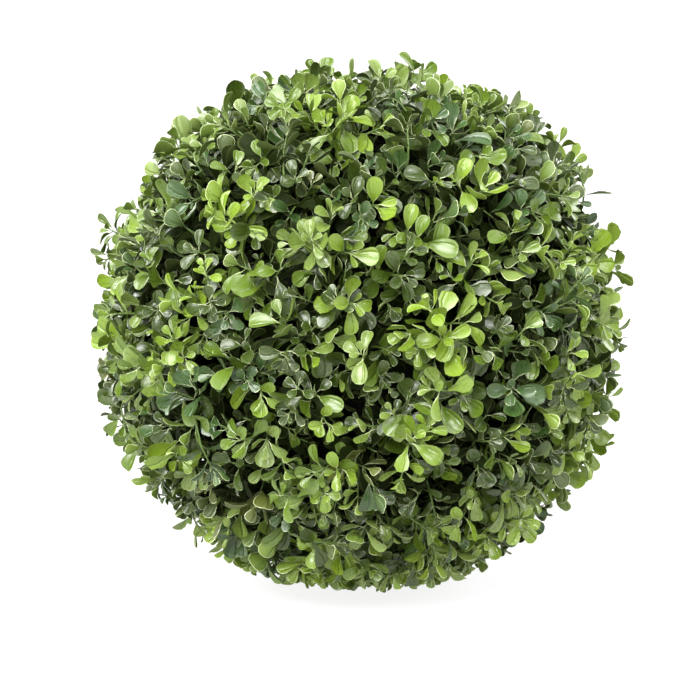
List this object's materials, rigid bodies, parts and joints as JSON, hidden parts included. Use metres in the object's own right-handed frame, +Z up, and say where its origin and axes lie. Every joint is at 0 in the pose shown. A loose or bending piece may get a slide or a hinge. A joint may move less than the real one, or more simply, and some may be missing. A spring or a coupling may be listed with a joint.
{
  "type": "artificial box topiary ball",
  "caption": "Round artificial box topiary ball: dense moulded sprigs of small leaves on a short stem that is hidden inside, rooted at a flat cut.",
  "frame": {"origin": "middle of the flat cut under the stem, at ground level", "axes": "+Z up through the ball's middle, -Y towards the side that the picture shows, +X to its right"},
  "size_m": [0.3794, 0.3808, 0.3718],
  "materials": {
    "stem": "matt brown bark",
    "foliage": "satin moulded leaves in several greens"
  },
  "bodies": {
    "root": {"stem": "stem", "lower_foliage": "foliage", "upper_foliage": "foliage"}
  },
  "joints": []
}
